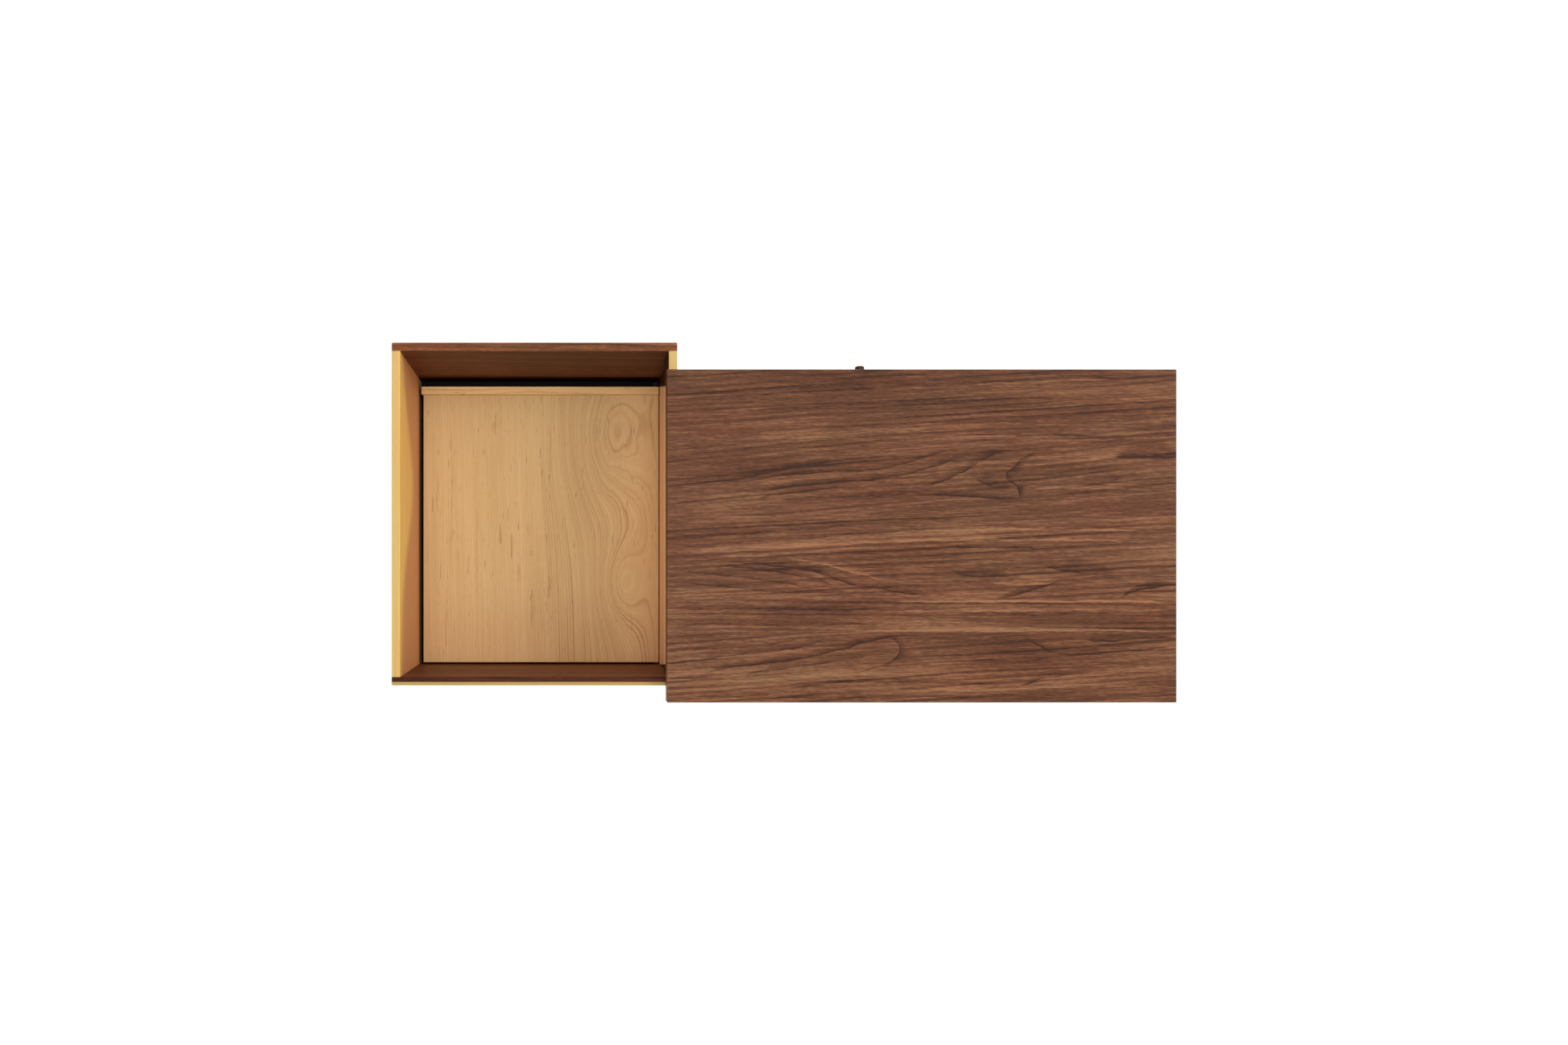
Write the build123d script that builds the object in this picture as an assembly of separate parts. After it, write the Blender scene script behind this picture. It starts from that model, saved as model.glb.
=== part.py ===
from build123d import *
import os

os.makedirs("parts", exist_ok=True)

# Two-tone wooden puzzle box: a fixed carcass under a long walnut lid board, a tray that swings out
# from under the lid on a corner pivot, a lift-out false bottom over a hidden compartment, a sliding
# lock rod inside the lid, and a secret drawer in the pedestal at the right-hand end.
# Millimetres.  Origin: centre of the felt underside, which is also the plan centre of the lid.
# +X right along the lid, +Y to the back, +Z up.  The tray is modelled swung out, as it is shown.

# ------------------------------------------------------------------------------- lid and carcass
LID_LENGTH = 350.0
LID_WIDTH = 229.0
LID_THICK = 9.0
LID_UNDERSIDE = 138.0
STAVE_WIDTHS = (48.0, 52.6, 57.5, 22.7, 48.2)  # back stave first
LID_SOFT = 0.5

BASE_LENGTH = 346.0
BASE_WIDTH = 225.0
BASE_THICK = 9.0
BASE_SOFT = 1.0
FELT_LENGTH = 336.0
FELT_WIDTH = 215.0
FELT_THICK = 1.5
FELT_CORNER = 4.0

WALL = 6.0
WALL_SOFT = 0.5
FRONT_WALL_LEFT = -172.0  # end of the stop lug, which the open tray would meet if it swung too far
CORNER_RELIEF_RIGHT = -160.0  # below the lug the front wall starts here, clear of the pivot corner
CORNER_RELIEF_TOP = 124.5
CORNER_RELIEF_OVERCUT = 1.0
PEDESTAL_RIGHT = 170.0
TRAY_TO_FRONT_WALL = 0.3
TRAY_TO_DIVIDER = 2.1
TRAY_TO_BACK_LINE = 0.2

# ------------------------------------------------------------------------------------------ tray
TRAY_WIDTH = 200.0
TRAY_LENGTH = 240.0
TRAY_UNDERSIDE = 12.0
TRAY_RIM = 134.0
TRAY_CORNER = 0.8
TRAY_SOFT = 0.45
FRONT_CORE = 3.5
FRONT_FACING = 2.5
BOTTOM_LIFT = 1.5
BOTTOM_THICK = 4.0
BOTTOM_GROOVE = 2.0
BOTTOM_PIN_RELIEF = 4.0
CLEAT_WIDTH = 8.0
CLEAT_TOP = 30.0
CLEAT_BACK_GAP = 12.0
CLEAT_SLOT_LEFT = 4.2
CLEAT_SLOT_FRONT = 3.0
RAIL_FOOT = 104.0  # underside of the top rail on the pivot side
SIDE_PANEL_THICK = 2.0  # thin side panel between that side's two rails
SIDE_PANEL_TONGUE = 3.0
LINING_THICK = 1.0
LINING_MARGIN = 0.4

# ---------------------------------------------------------------------------------- false bottom
PANEL_THICK = 4.0
PANEL_GAP_LEFT = 3.8
PANEL_GAP_RIGHT = 0.7
PANEL_GAP_FRONT = 1.6
PANEL_SOFT = 0.4
BATTEN_WIDTH = 6.4
BATTEN_THICK = 6.0
BATTEN_GAP_BACK = 6.8
BATTEN_OVERHANG_LEFT = 1.6
BATTEN_SOFT = 0.8
BATTEN_DOWEL_XS = (-330.0, -265.0, -200.0)

# ----------------------------------------------------------------------------------------- pivot
PIVOT_X = -169.4
PIVOT_Y = -101.0
PIVOT_INSET = 3.2  # from the axis to both outer faces of the tray, and the corner's radius
PIN_RADIUS = 1.5
PIN_CLEARANCE = 0.05
PIN_IN_TRAY = 10.0
PIN_IN_CARCASS = 5.0
LEAF_THICK = 1.5
LEAF_REACH = 32.0
TRAY_LEAF_HALF = 2.4
CARCASS_LEAF_HALF = 3.0
WASHER_RADIUS = 2.8
WASHER_CLEARANCE = 0.1
LEAF_SCREW_STEPS = (12.0, 25.0)
LEAF_SCREW_LENGTH = 6.5

# -------------------------------------------------------------------------------------- lock rod
ROD_X = -40.8
ROD_Z = 140.2
ROD_RADIUS = 2.0
ROD_FRONT = -109.2
ROD_GROOVE_WIDTH = 4.3
ROD_GROOVE_TOP = 142.4
ROD_GROOVE_FRONT = -110.0
TOOTH_RADIUS = 1.5
TOOTH_REST_Y = -106.9
TOOTH_FOOT = 131.0
TOOTH_NOTCH_HALF = 3.5
TOOTH_NOTCH_FLOOR = 130.0
FRONT_NOTCH_DEPTH = 4.3
TRAY_NOTCH_DEPTH = 4.6
KNOB_RADIUS = 3.2
KNOB_GAP = 0.3
KNOB_THICK = 2.9
KNOB_SPIGOT_RADIUS = 1.2
KNOB_SPIGOT_LENGTH = 6.0
COVER_WIDTH = 16.0
COVER_THICK = 1.5
COVER_FRONT = -98.0
COVER_BACK = 112.0
COVER_SCREW_YS = (-88.0, 0.0, 102.0)
COVER_SCREW_OFFSET = 5.2
COVER_SCREW_LENGTH = 6.5

# --------------------------------------------------------------------------------- secret drawer
DRAWER_GAP_SIDE = 0.6
DRAWER_GAP_BELOW = 0.4
DRAWER_GAP_ABOVE = 0.6
DRAWER_GAP_BEHIND = 2.5
DRAWER_FRONT_THICK = 6.0
DRAWER_SIDE_THICK = 5.0
DRAWER_SIDE_TOP = 125.0
DRAWER_BOTTOM_LIFT = 2.3
DRAWER_BOTTOM_THICK = 3.0
DRAWER_GROOVE = 2.0
DRAWER_FELT_THICK = 1.0
DRAWER_FELT_MARGIN = 0.4
FINGER_SCOOP_RADIUS = 13.0
FINGER_SCOOP_DEPTH = 3.0
STOP_PIN_RADIUS = 1.5
STOP_PIN_X = 146.4
STOP_PIN_Z = 70.0
STOP_PIN_REACH = 2.4
STOP_PIN_SEAT = 4.0
STOP_SLOT_START = 83.6
STOP_SLOT_END = 148.4
STOP_SLOT_CLEARANCE = 0.3

# -------------------------------------------------------------------------- dowels, pins, screws
DOWEL_RADIUS = 1.25
DOWEL_LONG = 8.0
DOWEL_SHORT = 4.0
DOWEL_THIN_SEAT = 3.0
LEFT_DOWEL_ZS = (45.0, 78.0, 111.0)
RAIL_DOWEL_ZS = (110.0, 124.0)
CARCASS_DOWEL_ZS = (35.0, 74.0, 113.0)
DRAWER_DOWEL_ZS = (40.0, 78.0, 112.0)
BATTEN_DOWEL_RADIUS = 1.0
BATTEN_DOWEL_HALF = 4.5
LID_PIN_RADIUS = 1.5
LID_PIN_UP = 5.0
LID_PIN_DOWN = 10.0
FRONT_PIN_XS = (-150.0, -95.0, 10.0, 60.0, 110.0, 155.0)
DIVIDER_PIN_YS = (-70.0, -5.0, 60.0)
BACK_PIN_XS = (95.0, 150.0)
BASE_SCREW_LENGTH = 20.0
BASE_SCREW_RADIUS = 1.45
BASE_SCREW_HEAD = 3.0
LEAF_SCREW_RADIUS = 0.9
LEAF_SCREW_HEAD = 1.7
SLOT_WIDTH = 0.6
SLOT_DEPTH = 0.5
STAVE_SPLINE_THICK = 1.5
STAVE_SPLINE_HALF = 3.0
STAVE_SPLINE_Z = 144.4
STAVE_SPLINE_MARGIN = 12.0

# --------------------------------------------------------------------------------- derived lines
lid_x1 = LID_LENGTH / 2
lid_y1 = LID_WIDTH / 2
lid_top = LID_UNDERSIDE + LID_THICK
base_top = FELT_THICK + BASE_THICK

tray_x1 = PIVOT_X + PIVOT_INSET
tray_x0 = tray_x1 - TRAY_WIDTH
tray_y0 = PIVOT_Y - PIVOT_INSET
tray_y1 = tray_y0 + TRAY_LENGTH
tray_in_x0 = tray_x0 + WALL
tray_in_x1 = tray_x1 - WALL
tray_in_y0 = tray_y0 + FRONT_CORE + FRONT_FACING
tray_in_y1 = tray_y1 - WALL
facing_line = tray_y0 + FRONT_FACING
bottom_z0 = TRAY_UNDERSIDE + BOTTOM_LIFT
bottom_z1 = bottom_z0 + BOTTOM_THICK

closed_x1 = PIVOT_X + TRAY_LENGTH - PIVOT_INSET
closed_y1 = PIVOT_Y + TRAY_WIDTH - PIVOT_INSET
front_wall_y1 = tray_y0 - TRAY_TO_FRONT_WALL
front_wall_y0 = front_wall_y1 - WALL
front_wall_mid = (front_wall_y0 + front_wall_y1) / 2
divider_x0 = closed_x1 + TRAY_TO_DIVIDER
divider_x1 = divider_x0 + WALL
divider_mid = (divider_x0 + divider_x1) / 2
back_wall_y1 = closed_y1 + TRAY_TO_BACK_LINE
back_wall_y0 = back_wall_y1 - WALL
back_wall_mid = (back_wall_y0 + back_wall_y1) / 2

drawer_x0 = divider_x1 + DRAWER_GAP_BEHIND
drawer_x1 = PEDESTAL_RIGHT
drawer_y0 = front_wall_y1 + DRAWER_GAP_SIDE
drawer_y1 = back_wall_y0 - DRAWER_GAP_SIDE
drawer_z0 = base_top + DRAWER_GAP_BELOW
drawer_z1 = LID_UNDERSIDE - DRAWER_GAP_ABOVE
drawer_in_x0 = drawer_x0 + DRAWER_SIDE_THICK
drawer_in_x1 = drawer_x1 - DRAWER_FRONT_THICK
drawer_in_y0 = drawer_y0 + DRAWER_SIDE_THICK
drawer_in_y1 = drawer_y1 - DRAWER_SIDE_THICK
drawer_bottom_z0 = drawer_z0 + DRAWER_BOTTOM_LIFT
drawer_bottom_z1 = drawer_bottom_z0 + DRAWER_BOTTOM_THICK

# where the lock notch of the closed tray lies while the tray is swung out
tray_notch_y = PIVOT_Y + (ROD_X - PIVOT_X)

parts = {}


# --------------------------------------------------------------------------------- small helpers
def slab(x0, x1, y0, y1, z0, z1):
    """A rectangular block given by its faces."""
    centre = Pos((x0 + x1) / 2, (y0 + y1) / 2, (z0 + z1) / 2)
    return centre * Box(x1 - x0, y1 - y0, z1 - z0)


def soft_slab(x0, x1, y0, y1, z0, z1, radius):
    """The same block with every edge eased."""
    block = slab(x0, x1, y0, y1, z0, z1)
    return fillet(block.edges(), radius)


def post(x, y, z0, z1, radius):
    """A round peg standing along Z."""
    return Pos(x, y, (z0 + z1) / 2) * Cylinder(radius, z1 - z0)


def peg_x(y, z, x0, x1, radius):
    """A round peg lying along X."""
    return Pos((x0 + x1) / 2, y, z) * Rot(0, 90, 0) * Cylinder(radius, x1 - x0)


def peg_y(x, z, y0, y1, radius):
    """A round peg lying along Y."""
    return Pos(x, (y0 + y1) / 2, z) * Rot(90, 0, 0) * Cylinder(radius, y1 - y0)


def screw_blank(length, radius, head):
    """A countersunk screw standing head up, its head flush with z = 0."""
    sink = head - radius
    cone = Pos(0, 0, -sink / 2) * Cone(radius, head, sink)
    shank = Pos(0, 0, -(sink + length - radius) / 2) * Cylinder(radius, length - radius - sink)
    tip = Pos(0, 0, -length + radius / 2) * Cone(radius / 2, radius, radius)
    return cone + shank + tip


def screw_slot(head):
    """The driver slot across a screw head."""
    return Pos(0, 0, -SLOT_DEPTH / 2) * Box(2 * head, SLOT_WIDTH, SLOT_DEPTH)


def screws_at(places, length, radius, head):
    """Screws and their holes for a list of (x, y, z, head_down) places."""
    blank = screw_blank(length, radius, head)
    slotted = blank - screw_slot(head)
    made = []
    holes = []
    for x, y, z, head_down in places:
        turn = Rot(180, 0, 0) if head_down else Rot(0, 0, 0)
        made.append(Pos(x, y, z) * turn * slotted)
        holes.append(Pos(x, y, z) * turn * blank)
    return made, holes


def cut(shape, tools):
    """Subtract each tool that reaches the shape."""
    for tool in tools:
        shape = shape - tool
    return shape


def group(shapes):
    """Several equal pieces as one set of separate solids."""
    return Compound(children=[s.solids()[0] for s in shapes])


def leaf(half, reach, z0, angle):
    """A knife-hinge leaf: round end on the pivot axis, straight end at its reach."""
    thick = LEAF_THICK
    strip = Pos(reach / 2, 0, 0) * Box(reach, 2 * half, thick)
    round_end = Cylinder(half, thick)
    return Pos(PIVOT_X, PIVOT_Y, z0 + thick / 2) * Rot(0, 0, angle) * (strip + round_end)


# ------------------------------------------------------------------------------- pivot hardware
pin_top_z0 = TRAY_RIM - PIN_IN_TRAY
pin_top_z1 = LID_UNDERSIDE + PIN_IN_CARCASS
pin_low_z0 = base_top - PIN_IN_CARCASS
pin_low_z1 = TRAY_UNDERSIDE + PIN_IN_TRAY
pin_top = post(PIVOT_X, PIVOT_Y, pin_top_z0, pin_top_z1, PIN_RADIUS)
pin_low = post(PIVOT_X, PIVOT_Y, pin_low_z0, pin_low_z1, PIN_RADIUS)
bore = PIN_RADIUS + PIN_CLEARANCE
bore_top = post(PIVOT_X, PIVOT_Y, pin_top_z0 - PIN_CLEARANCE, TRAY_RIM, bore)
bore_low = post(PIVOT_X, PIVOT_Y, TRAY_UNDERSIDE, pin_low_z1 + PIN_CLEARANCE, bore)

lid_leaf = leaf(CARCASS_LEAF_HALF, LEAF_REACH, LID_UNDERSIDE, 0)
base_leaf = leaf(CARCASS_LEAF_HALF, LEAF_REACH, base_top - LEAF_THICK, 0)
tray_leaf_top = leaf(TRAY_LEAF_HALF, LEAF_REACH, TRAY_RIM - LEAF_THICK, 90)
tray_leaf_low = leaf(TRAY_LEAF_HALF, LEAF_REACH, TRAY_UNDERSIDE, 90)

carcass_leaf_places = []
tray_leaf_places = []
for step in LEAF_SCREW_STEPS:
    carcass_leaf_places.append((PIVOT_X + step, PIVOT_Y, LID_UNDERSIDE, True))
    carcass_leaf_places.append((PIVOT_X + step, PIVOT_Y, base_top, False))
    tray_leaf_places.append((PIVOT_X, PIVOT_Y + step, TRAY_RIM, False))
    tray_leaf_places.append((PIVOT_X, PIVOT_Y + step, TRAY_UNDERSIDE, True))
leaf_screw = (LEAF_SCREW_LENGTH, LEAF_SCREW_RADIUS, LEAF_SCREW_HEAD)
carcass_leaf_screws, carcass_leaf_holes = screws_at(carcass_leaf_places, *leaf_screw)
tray_leaf_screws, tray_leaf_holes = screws_at(tray_leaf_places, *leaf_screw)

washer_top = post(PIVOT_X, PIVOT_Y, TRAY_RIM + WASHER_CLEARANCE, LID_UNDERSIDE, WASHER_RADIUS)
washer_low = post(PIVOT_X, PIVOT_Y, base_top, TRAY_UNDERSIDE - WASHER_CLEARANCE, WASHER_RADIUS)

parts["pivot_pins"] = group([pin_top, pin_low])
parts["pivot_washers"] = group([washer_top - pin_top, washer_low - pin_low])
parts["lid_pivot_leaf"] = cut(lid_leaf, [pin_top] + carcass_leaf_holes)
parts["base_pivot_leaf"] = cut(base_leaf, [pin_low] + carcass_leaf_holes)
parts["carcass_leaf_screws"] = group(carcass_leaf_screws)
parts["tray_upper_leaf"] = cut(tray_leaf_top, [bore_top] + tray_leaf_holes)
parts["tray_lower_leaf"] = cut(tray_leaf_low, [bore_low] + tray_leaf_holes)
parts["tray_leaf_screws"] = group(tray_leaf_screws)

# ----------------------------------------------------------------------------- carcass fasteners
wall_tops = [(x, front_wall_mid) for x in FRONT_PIN_XS]
wall_tops += [(divider_mid, y) for y in DIVIDER_PIN_YS]
wall_tops += [(x, back_wall_mid) for x in BACK_PIN_XS]
lid_pins = [
    post(x, y, LID_UNDERSIDE - LID_PIN_DOWN, LID_UNDERSIDE + LID_PIN_UP, LID_PIN_RADIUS)
    for x, y in wall_tops
]
base_screw_places = [(x, y, FELT_THICK, True) for x, y in wall_tops]
base_screws, base_screw_holes = screws_at(
    base_screw_places, BASE_SCREW_LENGTH, BASE_SCREW_RADIUS, BASE_SCREW_HEAD
)
carcass_dowels = []
for z in CARCASS_DOWEL_ZS:
    carcass_dowels.append(
        peg_y(divider_mid, z, front_wall_y1 - DOWEL_SHORT, front_wall_y1 + DOWEL_LONG, DOWEL_RADIUS)
    )
    carcass_dowels.append(
        peg_x(back_wall_mid, z, divider_x1 - DOWEL_SHORT, divider_x1 + DOWEL_LONG, DOWEL_RADIUS)
    )
stop_pin = peg_y(
    STOP_PIN_X, STOP_PIN_Z, back_wall_y0 - STOP_PIN_REACH, back_wall_y0 + STOP_PIN_SEAT, STOP_PIN_RADIUS
)

parts["lid_pins"] = group(lid_pins)
parts["base_screws"] = group(base_screws)
parts["carcass_dowels"] = group(carcass_dowels)
parts["drawer_stop_pin"] = stop_pin

# -------------------------------------------------------------------------- carcass wooden parts
felt = slab(-FELT_LENGTH / 2, FELT_LENGTH / 2, -FELT_WIDTH / 2, FELT_WIDTH / 2, 0, FELT_THICK)
parts["base_felt"] = fillet(felt.edges().filter_by(Axis.Z), FELT_CORNER)

base_board = soft_slab(
    -BASE_LENGTH / 2, BASE_LENGTH / 2, -BASE_WIDTH / 2, BASE_WIDTH / 2, FELT_THICK, base_top, BASE_SOFT
)
parts["base_board"] = cut(base_board, [base_leaf, pin_low] + carcass_leaf_holes + base_screw_holes)

front_wall = soft_slab(
    FRONT_WALL_LEFT, PEDESTAL_RIGHT, front_wall_y0, front_wall_y1, base_top, LID_UNDERSIDE, WALL_SOFT
)
front_notch = slab(
    ROD_X - TOOTH_NOTCH_HALF,
    ROD_X + TOOTH_NOTCH_HALF,
    front_wall_y1 - FRONT_NOTCH_DEPTH,
    front_wall_y1,
    TOOTH_NOTCH_FLOOR,
    LID_UNDERSIDE,
)
corner_relief = slab(
    FRONT_WALL_LEFT - CORNER_RELIEF_OVERCUT,
    CORNER_RELIEF_RIGHT,
    front_wall_y0 - CORNER_RELIEF_OVERCUT,
    front_wall_y1 + CORNER_RELIEF_OVERCUT,
    base_top,
    CORNER_RELIEF_TOP,
)
wall_cuts = lid_pins + base_screw_holes + carcass_dowels + [stop_pin]
parts["front_wall"] = cut(front_wall, [front_notch, corner_relief] + wall_cuts)

divider = slab(divider_x0, divider_x1, front_wall_y1, back_wall_y1, base_top, LID_UNDERSIDE)
parts["pedestal_divider"] = cut(divider, wall_cuts)

back_wall = soft_slab(
    divider_x1, PEDESTAL_RIGHT, back_wall_y0, back_wall_y1, base_top, LID_UNDERSIDE, WALL_SOFT
)
parts["pedestal_back_wall"] = cut(back_wall, wall_cuts)

# ----------------------------------------------------------------------- lid of edge-glued staves
lid_blank = soft_slab(-lid_x1, lid_x1, -lid_y1, lid_y1, LID_UNDERSIDE, lid_top, LID_SOFT)
rod_groove = slab(
    ROD_X - ROD_GROOVE_WIDTH / 2,
    ROD_X + ROD_GROOVE_WIDTH / 2,
    ROD_GROOVE_FRONT,
    lid_y1,
    LID_UNDERSIDE,
    ROD_GROOVE_TOP,
)
cover_places = []
for y in COVER_SCREW_YS:
    for side in (-1, 1):
        x = ROD_X + side * COVER_SCREW_OFFSET
        cover_places.append((x, y, LID_UNDERSIDE - COVER_THICK, True))
cover_screws, cover_holes = screws_at(
    cover_places, COVER_SCREW_LENGTH, LEAF_SCREW_RADIUS, LEAF_SCREW_HEAD
)

seams = []
line = lid_y1
for width in STAVE_WIDTHS[:-1]:
    line = line - width
    seams.append(line)
splines = [
    slab(
        -lid_x1 + STAVE_SPLINE_MARGIN,
        lid_x1 - STAVE_SPLINE_MARGIN,
        y - STAVE_SPLINE_HALF,
        y + STAVE_SPLINE_HALF,
        STAVE_SPLINE_Z - STAVE_SPLINE_THICK / 2,
        STAVE_SPLINE_Z + STAVE_SPLINE_THICK / 2,
    )
    for y in seams
]
parts["lid_splines"] = group(splines)

lid_cuts = [rod_groove, lid_leaf, pin_top] + lid_pins + carcass_leaf_holes + cover_holes + splines
stave_lines = [lid_y1] + seams + [-lid_y1]
for number in range(len(STAVE_WIDTHS)):
    back_line = stave_lines[number]
    front_line = stave_lines[number + 1]
    zone = slab(-lid_x1, lid_x1, front_line, back_line, LID_UNDERSIDE, lid_top)
    parts[f"lid_stave_{number + 1}"] = cut(lid_blank & zone, lid_cuts)

# -------------------------------------------------------------------------------------- lock rod
rod = peg_y(ROD_X, ROD_Z, ROD_FRONT, lid_y1 + KNOB_GAP, ROD_RADIUS)
tooth = post(ROD_X, TOOTH_REST_Y, TOOTH_FOOT, ROD_Z, TOOTH_RADIUS)
knob_y0 = lid_y1 + KNOB_GAP
knob_head = peg_y(ROD_X, ROD_Z, knob_y0, knob_y0 + KNOB_THICK, KNOB_RADIUS)
knob_head = fillet(knob_head.edges().sort_by(Axis.Y)[-1:], KNOB_THICK / 3)
spigot = peg_y(ROD_X, ROD_Z, knob_y0 - KNOB_SPIGOT_LENGTH, knob_y0, KNOB_SPIGOT_RADIUS)
parts["lock_rod"] = cut(rod, [tooth, spigot])
parts["lock_tooth"] = tooth
parts["lock_knob"] = knob_head + spigot

cover = slab(
    ROD_X - COVER_WIDTH / 2,
    ROD_X + COVER_WIDTH / 2,
    COVER_FRONT,
    COVER_BACK,
    LID_UNDERSIDE - COVER_THICK,
    LID_UNDERSIDE,
)
parts["rod_cover_strip"] = cut(cover, cover_holes)
parts["cover_strip_screws"] = group(cover_screws)

# ------------------------------------------------------------------------------------ tray walls
tray_outer = slab(tray_x0, tray_x1, tray_y0, tray_y1, TRAY_UNDERSIDE, TRAY_RIM)
corners = tray_outer.edges().filter_by(Axis.Z)
pivot_corner = corners.sort_by(Axis.X)[-2:].sort_by(Axis.Y)[0]
other_corners = [edge for edge in corners if edge is not pivot_corner]
tray_outer = fillet(other_corners, TRAY_CORNER)
pivot_edge = (
    tray_outer.edges().filter_by(Axis.Z).sort_by_distance((tray_x1, tray_y0, TRAY_RIM / 2))[0]
)
tray_outer = fillet(pivot_edge, PIVOT_INSET)
tray_void = slab(tray_in_x0, tray_in_x1, tray_in_y0, tray_in_y1, TRAY_UNDERSIDE, TRAY_RIM)
tray_ring = tray_outer - tray_void
tray_ring = fillet(tray_ring.faces().sort_by(Axis.Z)[-1].edges(), TRAY_SOFT)
tray_ring = fillet(tray_ring.faces().sort_by(Axis.Z)[0].edges(), TRAY_SOFT)

tray_notch = slab(
    tray_x1 - TRAY_NOTCH_DEPTH,
    tray_x1,
    tray_notch_y - TOOTH_NOTCH_HALF,
    tray_notch_y + TOOTH_NOTCH_HALF,
    TOOTH_NOTCH_FLOOR,
    TRAY_RIM,
)
tray_bottom = slab(
    tray_in_x0 - BOTTOM_GROOVE,
    tray_in_x1 + BOTTOM_GROOVE,
    tray_in_y0 - BOTTOM_GROOVE,
    tray_in_y1 + BOTTOM_GROOVE,
    bottom_z0,
    bottom_z1,
)
pin_relief = post(PIVOT_X, PIVOT_Y, bottom_z0, bottom_z1, BOTTOM_PIN_RELIEF)
tray_bottom = cut(tray_bottom, [pin_relief] + tray_leaf_holes)

left_mid = tray_x0 + WALL / 2
right_mid = tray_x1 - WALL / 2
tray_dowels = []
dowel_places = [(left_mid, z) for z in LEFT_DOWEL_ZS] + [(right_mid, z) for z in RAIL_DOWEL_ZS]
for x, z in dowel_places:
    tray_dowels.append(
        peg_y(x, z, tray_in_y1 - DOWEL_LONG, tray_in_y1 + DOWEL_SHORT, DOWEL_RADIUS)
    )
    if x == left_mid:
        tray_dowels.append(
            peg_y(x, z, tray_in_y0 - DOWEL_THIN_SEAT, tray_in_y0 + DOWEL_LONG, DOWEL_RADIUS)
        )

side_panel_x0 = tray_x1 - SIDE_PANEL_THICK
cleat_y1 = tray_in_y1 - CLEAT_BACK_GAP
finger_relief = slab(tray_in_x1, side_panel_x0, cleat_y1, tray_in_y1, bottom_z1, CLEAT_TOP)
side_panel = slab(
    side_panel_x0,
    tray_x1,
    tray_in_y0,
    tray_in_y1,
    CLEAT_TOP - SIDE_PANEL_TONGUE,
    RAIL_FOOT + SIDE_PANEL_TONGUE,
)
parts["tray_side_panel"] = side_panel

tray_cuts = [tray_bottom, tray_notch, tray_leaf_top, tray_leaf_low, bore_top, bore_low, side_panel]
tray_cuts += [finger_relief] + tray_leaf_holes + tray_dowels
wall_span = (TRAY_UNDERSIDE, TRAY_RIM)
tray_zones = {
    "tray_back_wall": (tray_x0, tray_x1, tray_in_y1, tray_y1, *wall_span),
    "tray_left_wall": (tray_x0, tray_in_x0, tray_in_y0, tray_in_y1, *wall_span),
    "tray_top_rail": (tray_in_x1, tray_x1, tray_in_y0, tray_in_y1, RAIL_FOOT, TRAY_RIM),
    "tray_bottom_rail": (tray_in_x1, tray_x1, tray_in_y0, tray_in_y1, TRAY_UNDERSIDE, CLEAT_TOP),
    "tray_front_wall": (tray_x0, tray_x1, facing_line, tray_in_y0, *wall_span),
    "tray_front_facing": (tray_x0, tray_x1, tray_y0, facing_line, *wall_span),
}
for name, faces in tray_zones.items():
    parts[name] = cut(tray_ring & slab(*faces), tray_cuts)

cleat_x0 = tray_in_x0 + CLEAT_SLOT_LEFT
cleat_x1 = tray_in_x1 - CLEAT_WIDTH
cleat_y0 = tray_in_y0 + CLEAT_SLOT_FRONT
cleat_faces = [
    (cleat_x0, cleat_x0 + CLEAT_WIDTH, cleat_y0, cleat_y1),
    (cleat_x1, tray_in_x1, cleat_y0, cleat_y1),
    (cleat_x0 + CLEAT_WIDTH, cleat_x1, cleat_y0, cleat_y0 + CLEAT_WIDTH),
]
lining_z1 = bottom_z1 + LINING_THICK
lining = slab(
    tray_in_x0 + LINING_MARGIN,
    tray_in_x1 - LINING_MARGIN,
    tray_in_y0 + LINING_MARGIN,
    tray_in_y1 - LINING_MARGIN,
    bottom_z1,
    lining_z1,
)
lining_cuts = [
    slab(
        x0 - LINING_MARGIN,
        x1 + LINING_MARGIN,
        y0 - LINING_MARGIN,
        y1 + LINING_MARGIN,
        bottom_z1,
        lining_z1,
    )
    for x0, x1, y0, y1 in cleat_faces
]
parts["tray_bottom"] = tray_bottom
parts["tray_dowels"] = group(tray_dowels)
parts["tray_cleats"] = group([slab(*faces, bottom_z1, CLEAT_TOP) for faces in cleat_faces])
parts["compartment_lining"] = cut(lining, lining_cuts)

# ---------------------------------------------------------------------------------- false bottom
batten_y1 = tray_in_y1 - BATTEN_GAP_BACK
batten_y0 = batten_y1 - BATTEN_WIDTH
panel_x0 = tray_in_x0 + PANEL_GAP_LEFT
panel_x1 = side_panel_x0 - PANEL_GAP_RIGHT
panel = soft_slab(
    panel_x0,
    panel_x1,
    tray_in_y0 + PANEL_GAP_FRONT,
    batten_y0,
    CLEAT_TOP,
    CLEAT_TOP + PANEL_THICK,
    PANEL_SOFT,
)
batten = soft_slab(
    panel_x0 - BATTEN_OVERHANG_LEFT,
    panel_x1,
    batten_y0,
    batten_y1,
    CLEAT_TOP,
    CLEAT_TOP + BATTEN_THICK,
    BATTEN_SOFT,
)
batten_dowels = [
    peg_y(
        x,
        CLEAT_TOP + PANEL_THICK / 2,
        batten_y0 - BATTEN_DOWEL_HALF,
        batten_y0 + BATTEN_DOWEL_HALF,
        BATTEN_DOWEL_RADIUS,
    )
    for x in BATTEN_DOWEL_XS
]
parts["false_bottom_panel"] = cut(panel, batten_dowels)
parts["finger_batten"] = cut(batten, batten_dowels)
parts["batten_dowels"] = group(batten_dowels)

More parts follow.
